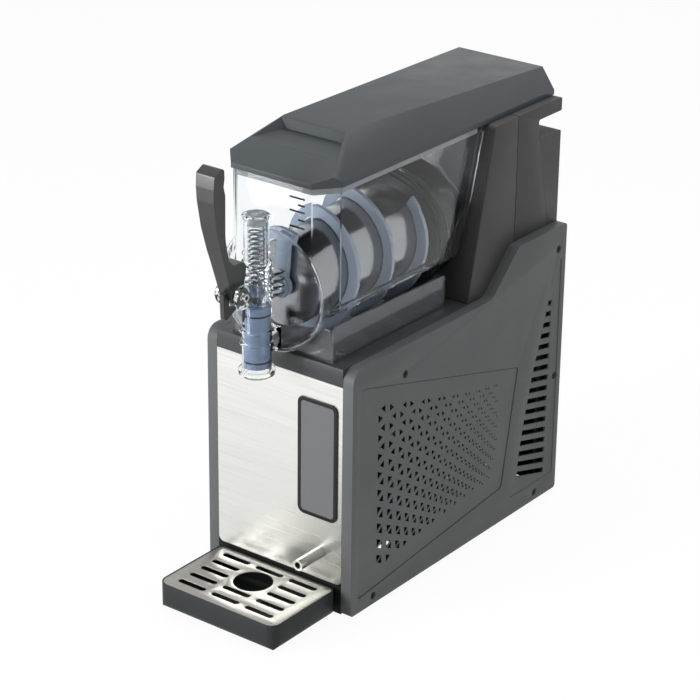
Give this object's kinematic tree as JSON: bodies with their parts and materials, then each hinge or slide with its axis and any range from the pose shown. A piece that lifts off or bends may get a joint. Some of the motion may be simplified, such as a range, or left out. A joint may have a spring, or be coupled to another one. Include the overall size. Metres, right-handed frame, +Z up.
{
  "type": "slush machine",
  "caption": "Counter-top frozen drink machine with a clear bowl over a cold drum and auger, a lever tap, a lift-off lid and a drip tray.",
  "frame": {"origin": "middle of the machine's footprint box, at the underside of the feet", "axes": "+Z up; -Y is the front, where the tap and drip tray are; +X is the machine's display side"},
  "size_m": [0.19, 0.495, 0.509],
  "materials": {
    "panel_plastic": "fine texture",
    "lid_plastic": "satin",
    "tower_plastic": "fine texture",
    "deck_plastic": "satin",
    "plinth_plastic": "satin",
    "tray_plastic": "satin",
    "lever_plastic": "satin",
    "black_plastic": "matte",
    "screen_plastic": "gloss",
    "red_plastic": "gloss",
    "steel_sheet": "brushed",
    "drum_steel": "polished",
    "zinc_sheet": "zinc-plated",
    "screw_steel": "black oxide",
    "pin_steel": "polished",
    "clear_plastic": "clear",
    "hose_plastic": "frosted",
    "auger_plastic": "satin",
    "nose_plastic": "satin",
    "piston_plastic": "satin",
    "cap_plastic": "satin",
    "rubber_black": "matte",
    "rubber_grey": "matte",
    "bush_brass": "turned",
    "copper_pipe": "drawn",
    "motor_paint": "satin",
    "compressor_paint": "gloss",
    "condenser_aluminium": "bare",
    "bracket_aluminium": "bare",
    "circuit_board": "satin"
  },
  "bodies": {
    "machine": {"base_pan": "zinc_sheet", "feet": "rubber_black", "left_side_panel": "panel_plastic", "right_side_panel": "panel_plastic", "left_grille": "panel_plastic", "right_grille": "panel_plastic", "panel_screws": "screw_steel", "front_panel": "steel_sheet", "plinth": "plinth_plastic", "deck": "deck_plastic", "display_frame": "black_plastic", "display_glass": "screen_plastic", "control_board": "circuit_board", "drain_tube": "steel_sheet", "drain_hose": "hose_plastic", "condensate_tray": "clear_plastic", "tower_front": "tower_plastic", "tower_back": "tower_plastic", "rear_panel": "tower_plastic", "evaporator_drum": "drum_steel", "drum_flange": "black_plastic", "drum_seal": "rubber_black", "front_bush": "bush_brass", "gearbox": "motor_paint", "gear_motor": "motor_paint", "motor_bracket": "bracket_aluminium", "compressor": "compressor_paint", "compressor_mounts": "rubber_black", "condenser": "condenser_aluminium", "fan_shroud": "black_plastic", "fan_motor": "motor_paint", "suction_pipe": "copper_pipe", "discharge_pipe": "copper_pipe", "filter_drier": "copper_pipe", "power_supply": "zinc_sheet", "power_inlet": "black_plastic", "switch_frame": "black_plastic"},
    "fan_wheel": {"fan": "black_plastic"},
    "rocker": {"switch_rocker": "red_plastic"},
    "bowl_unit": {"bowl": "clear_plastic", "tap_body": "clear_plastic", "tap_cap": "cap_plastic", "tap_spring": "pin_steel", "pivot_pin": "pin_steel"},
    "lever": {"tap_lever": "lever_plastic"},
    "piston_unit": {"piston": "piston_plastic", "piston_rings": "rubber_black"},
    "lid_unit": {"lid": "lid_plastic", "lid_seal": "rubber_grey"},
    "auger_unit": {"auger": "auger_plastic", "drive_shaft": "pin_steel", "auger_nose": "nose_plastic"},
    "tray_unit": {"drip_tray": "tray_plastic"},
    "grid_unit": {"drip_grid": "steel_sheet"}
  },
  "joints": [
    {"name": "bowl_slide", "type": "slide", "parent": "machine", "child": "bowl_unit", "axis": [0, -1, 0], "range_m": [0, 0.23]},
    {"name": "lid_lift", "type": "slide", "parent": "bowl_unit", "child": "lid_unit", "axis": [0, 0, 1], "range_m": [0, 0.06]},
    {"name": "lever_swing", "type": "hinge", "parent": "bowl_unit", "child": "lever", "pos_m": [0, -0.206, 0.366], "axis": [1, 0, 0], "range_deg": [0, 55], "stiffness_Nm_per_rad": 0.6, "springref_deg": -22.92},
    {"name": "piston_lift", "type": "slide", "parent": "bowl_unit", "child": "piston_unit", "axis": [0, 0, 1], "range_m": [0, 0.0287], "deforming": ["tap_spring"]},
    {"name": "auger_spin", "type": "hinge", "parent": "machine", "child": "auger_unit", "pos_m": [0, -0.036, 0.352], "axis": [0, 1, 0], "continuous": true},
    {"name": "fan_spin", "type": "hinge", "parent": "machine", "child": "fan_wheel", "pos_m": [0, 0.038, 0.073], "axis": [0, 1, 0], "continuous": true},
    {"name": "tray_slide", "type": "slide", "parent": "machine", "child": "tray_unit", "axis": [0, -1, 0], "range_m": [0, 0.06]},
    {"name": "grid_lift", "type": "slide", "parent": "tray_unit", "child": "grid_unit", "axis": [0, 0, 1], "range_m": [0, 0.025]},
    {"name": "switch_rock", "type": "hinge", "parent": "machine", "child": "rocker", "pos_m": [0, 0.239, 0.053], "axis": [1, 0, 0], "range_deg": [0, 18]}
  ],
  "couplings": [
    {"joint": "piston_lift", "follows": "lever_swing", "m_per_rad": 0.02982}
  ]
}
